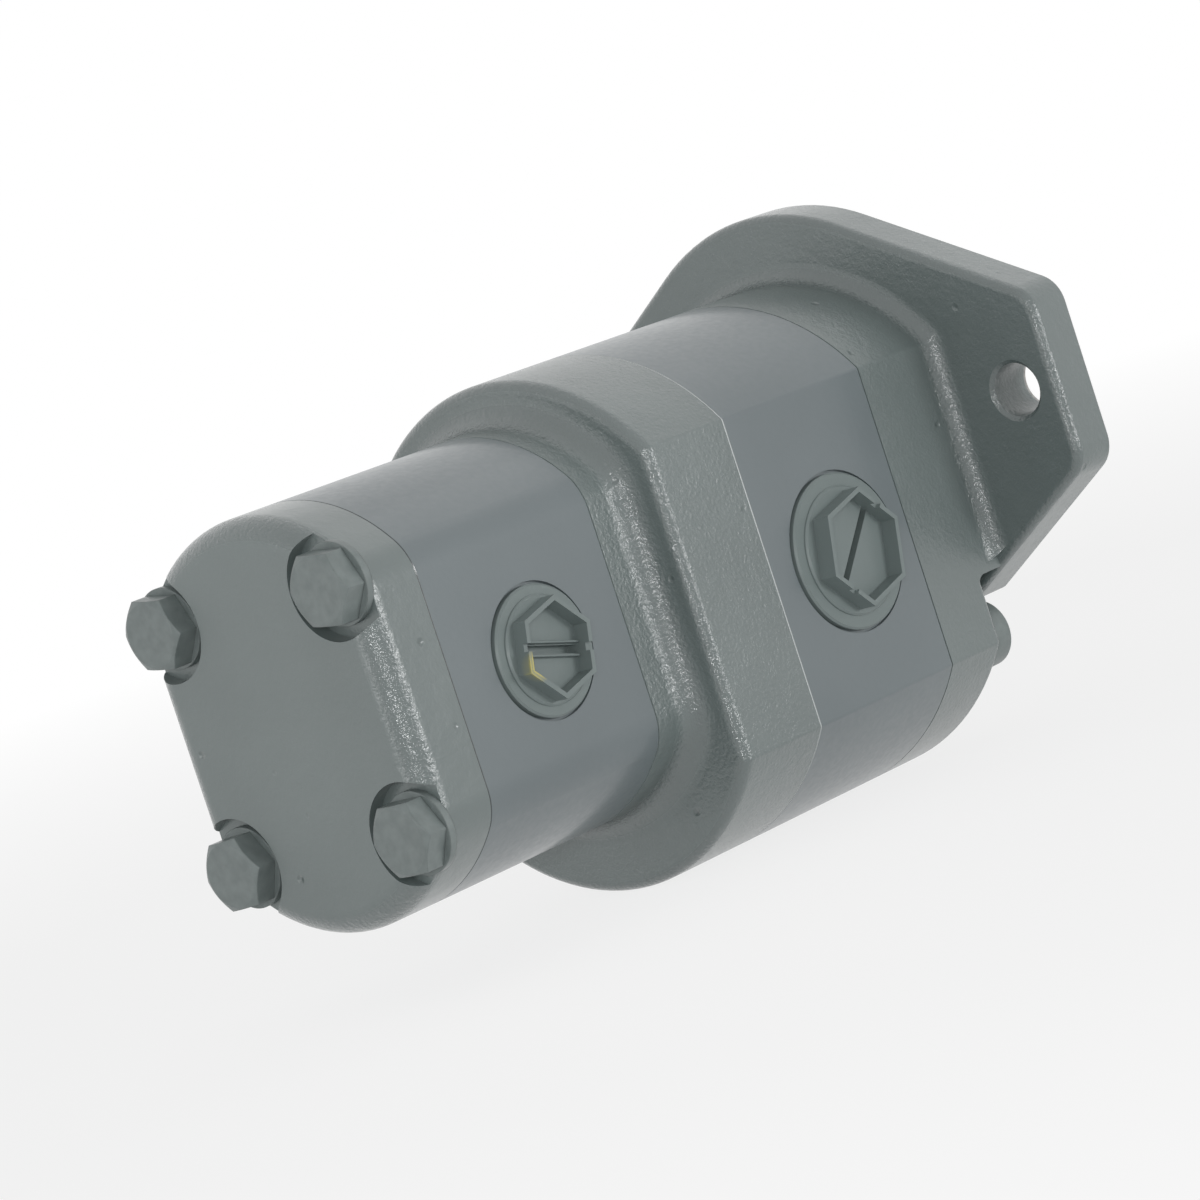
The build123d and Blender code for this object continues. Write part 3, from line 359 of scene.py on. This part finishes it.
def plug_rib(name, side):
    """One moulded wall beside the screwdriver slot of the small plug, tapered for its mould."""
    bpy.ops.object.select_all(action="DESELECT")
    bpy.ops.mesh.primitive_cube_add(size=1)
    rib = bpy.context.object
    rib.name = name
    rib.data.name = name
    rib.scale = (RIB_LENGTH, RIB_HEIGHT, RIB_THICKNESS)
    bpy.ops.object.transform_apply(location=False, rotation=False, scale=True)
    bpy.ops.object.mode_set(mode="EDIT")
    bpy.ops.mesh.select_mode(type="FACE")
    bpy.ops.mesh.select_all(action="DESELECT")
    bpy.ops.object.mode_set(mode="OBJECT")
    # The top of the wall looks to the outlet side
    for face in rib.data.polygons:
        face.select = face.normal.y < -0.5
    bpy.ops.object.mode_set(mode="EDIT")
    bpy.ops.transform.resize(value=(RIB_TOP_LENGTH_SHARE, 1, RIB_TOP_THICKNESS_SHARE))
    bpy.ops.mesh.bevel(offset=RIB_ROUNDING, segments=2)
    bpy.ops.object.mode_set(mode="OBJECT")
    turn = math.radians(RIB_TURN)
    across = side * RIB_SPACING / 2
    rib.rotation_euler = (0, turn, 0)
    rib.location = (
        plug_middle.x + across * math.sin(turn),
        plug_low.y + CUP_DEPTH - RIB_HEIGHT / 2,
        plug_middle.z + across * math.cos(turn),
    )
    bpy.ops.object.transform_apply(location=True, rotation=True, scale=True)
    rib.data.materials.append(plug_finish)
    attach(rib, "housing")


plug_rib("upper_plug_rib", 1)
plug_rib("lower_plug_rib", -1)

# ---- Bare metal inside and at the drive end ----
# The gears are case-hardened and ground, the screws in the mounting face are black oxide steel,
# the bearing blocks are machined aluminium with bronze bushes, and dowels and ring are oiled steel.

# Each metal has its two shades, its roughness and the spacing of its tool marks. Real marks lie
# 0.05 to 0.2 mm apart, too fine to show, so they are drawn coarser.
GROUND_STEEL = ("#A2A3A5", "#AEAFB0", 0.26, 0.0006)
OILED_STEEL = ("#6E6F72", "#838487", 0.34, 0.0008)
BLACK_OXIDE = ("#2B2C2F", "#3A3B3E", 0.42, 0.0012)
BRONZE = ("#A98552", "#BF9A63", 0.34, 0.0008)
ALUMINIUM = ("#B2B4B7", "#C9CACC", 0.4, 0.001)
SMOOTHER_BY = 0.05
ROUGHER_BY = 0.07
MARK_SPACINGS_PER_HEIGHT = 200
FRONT_AND_REAR = ("front", "rear")


def bare_metal(name, dark, light, roughness, mark_spacing):
    """Machined metal: two near shades and a changing gloss, both following fine tool marks."""
    made, tree, shader, place = finish(name)
    marks = put(tree, "ShaderNodeTexNoise", {
        "Vector": place, "Scale": 1 / mark_spacing, "Detail": 3, "Roughness": 0.6})["Fac"]
    marks = put(tree, "ShaderNodeMapRange", {
        "Value": marks, "From Min": NOISE_WIDE[0], "From Max": NOISE_WIDE[1]})[0]
    colour = put(tree, "ShaderNodeMix", {0: marks, 6: srgb(dark), 7: srgb(light)}, data_type="RGBA")[2]
    gloss = put(tree, "ShaderNodeMapRange", {
        "Value": marks, "To Min": roughness - SMOOTHER_BY, "To Max": roughness + ROUGHER_BY})[0]
    bump = put(tree, "ShaderNodeBump", {
        "Height": marks, "Distance": mark_spacing / MARK_SPACINGS_PER_HEIGHT})[0]
    feed(shader, {"Base Color": colour, "Roughness": gloss, "Normal": bump, "Metallic": 1})
    return made


ground_steel = bare_metal("ground_steel", *GROUND_STEEL)
oiled_steel = bare_metal("oiled_steel", *OILED_STEEL)
black_oxide = bare_metal("black_oxide_steel", *BLACK_OXIDE)
bronze = bare_metal("bearing_bronze", *BRONZE)
aluminium = bare_metal("machined_aluminium", *ALUMINIUM)
dress(["drive_gear_shaft", "front_driven_gear", "rear_drive_gear_shaft", "rear_driven_gear"], ground_steel)
dress(["shaft_coupling"], ground_steel)
dress(["seal_retaining_ring", "front_cover_dowels", "rear_cover_dowels"], oiled_steel)
dress([f"adaptor_{section}_dowels" for section in FRONT_AND_REAR], oiled_steel)
dress(["upper_clamp_screws"], black_oxide)
dress([f"{section}_section_bushes" for section in FRONT_AND_REAR], bronze)
dress([f"{section}_section_{end}_bearing_block" for section in FRONT_AND_REAR for end in FRONT_AND_REAR],
      aluminium)

# ---- Seals ----
# Nitrile rubber rings and the lip seal of the shaft, moulded, with a dull black skin.

RUBBER_DARK = "#151515"
RUBBER_LIGHT = "#262626"
RUBBER_GRAIN = 0.001
RUBBER_ROUGHNESS = (0.5, 0.68)


def nitrile_rubber():
    """Moulded nitrile rubber: near black, with a slightly uneven bloom."""
    made, tree, shader, place = finish("nitrile_rubber")
    grain = put(tree, "ShaderNodeTexNoise", {"Vector": place, "Scale": 1 / RUBBER_GRAIN})["Fac"]
    colour = put(tree, "ShaderNodeMix", {0: grain, 6: srgb(RUBBER_DARK), 7: srgb(RUBBER_LIGHT)},
                 data_type="RGBA")[2]
    gloss = put(tree, "ShaderNodeMapRange", {
        "Value": grain, "From Min": NOISE_WIDE[0], "From Max": NOISE_WIDE[1],
        "To Min": RUBBER_ROUGHNESS[0], "To Max": RUBBER_ROUGHNESS[1]})[0]
    feed(shader, {"Base Color": colour, "Roughness": gloss})
    return made


rubber = nitrile_rubber()
dress(["shaft_seal"], rubber)
dress([f"{section}_section_{kind}_seals" for section in FRONT_AND_REAR for kind in ("joint", "balance")],
      rubber)

# ---- Floor and backdrop ----
# A white table top in a white studio. What the camera, gloss and glass see of both is plain white,
# and the light that they throw on the pump is weaker.

WHITE = "#FFFFFF"
FLOOR_WHITE = "#F2F2F2"
FLOOR_SIZE = 30
FLOOR_GAP = 0.0002
FLOOR_GLOW = 0.8
FADE_FROM = 0.35
FADE_TO = 1.5
DOME_STRENGTH = 0.36


def seen_directly(tree):
    """1 for camera, glossy and transmission rays, 0 for the light that falls on the pump."""
    path = put(tree, "ShaderNodeLightPath")
    seen = put(tree, "ShaderNodeMath", {0: path["Is Camera Ray"], 1: path["Is Glossy Ray"]},
               operation="MAXIMUM")[0]
    return put(tree, "ShaderNodeMath", {0: seen, 1: path["Is Transmission Ray"]}, operation="MAXIMUM")[0]


def table_top():
    """Matt white laminate that turns plain white away from the pump."""
    made = bpy.data.materials.new("table_top")
    made.use_nodes = True
    tree = made.node_tree
    tree.nodes.clear()
    place = put(tree, "ShaderNodeTexCoord")["Object"]
    away = put(tree, "ShaderNodeVectorMath", {0: place}, operation="LENGTH")["Value"]
    glow = put(tree, "ShaderNodeMapRange", {
        "Value": away, "From Min": FADE_FROM, "From Max": FADE_TO, "To Min": FLOOR_GLOW, "To Max": 1})[0]
    share = put(tree, "ShaderNodeMath", {0: seen_directly(tree), 1: glow}, operation="MULTIPLY")[0]
    laminate = put(tree, "ShaderNodeBsdfDiffuse", {"Color": srgb(FLOOR_WHITE)})[0]
    white = put(tree, "ShaderNodeEmission", {"Color": srgb(WHITE), "Strength": 1})[0]
    surface = put(tree, "ShaderNodeMixShader", {0: share, 1: laminate, 2: white})[0]
    put(tree, "ShaderNodeOutputMaterial", {"Surface": surface})
    return made


bpy.ops.object.select_all(action="DESELECT")
bpy.ops.mesh.primitive_plane_add(size=FLOOR_SIZE, location=(0, 0, cad_box[0][2] - FLOOR_GAP))
floor = bpy.context.object
floor.name = "floor"
floor.data.materials.append(table_top())

studio = bpy.data.worlds.new("studio")
bpy.context.scene.world = studio
studio.use_nodes = True
sky = studio.node_tree
sky.nodes.clear()
dome = put(sky, "ShaderNodeBackground", {"Color": srgb(WHITE), "Strength": DOME_STRENGTH})[0]
backdrop = put(sky, "ShaderNodeBackground", {"Color": srgb(WHITE), "Strength": 1})[0]
wall = put(sky, "ShaderNodeMixShader", {0: seen_directly(sky), 1: dome, 2: backdrop})[0]
put(sky, "ShaderNodeOutputWorld", {"Surface": wall})

# ---- Lamps ----
# Three soft panels: one over the drive end, one behind the rear cover and one along the outlet side,
# and a small one near the camera that gives the rough edges their glints.

LAMP_AIM = Vector((-0.1, 0, -0.02))


def soft_panel(name, place, size, power):
    """Square area lamp turned to the pump; its side is in metres and its power in watts."""
    data = bpy.data.lights.new(name, "AREA")
    data.size = size
    data.energy = power
    lamp = bpy.data.objects.new(name, data)
    lamp.location = place
    lamp.rotation_euler = (LAMP_AIM - Vector(place)).to_track_quat("-Z", "Y").to_euler()
    bpy.context.scene.collection.objects.link(lamp)


soft_panel("over_drive_end", (0.45, -0.1, 1.0), size=0.7, power=0.5)
soft_panel("behind_rear_cover", (-1.25, 0.35, 0.0), size=0.5, power=1.9)
soft_panel("outlet_side", (0.2, -1.1, 0.0), size=0.3, power=3.7)
soft_panel("glints", (-0.9, -0.75, 0.12), size=0.13, power=2.2)

# ---- View ---- Colours are shown as they are written.

bpy.context.scene.view_settings.view_transform = "Standard"
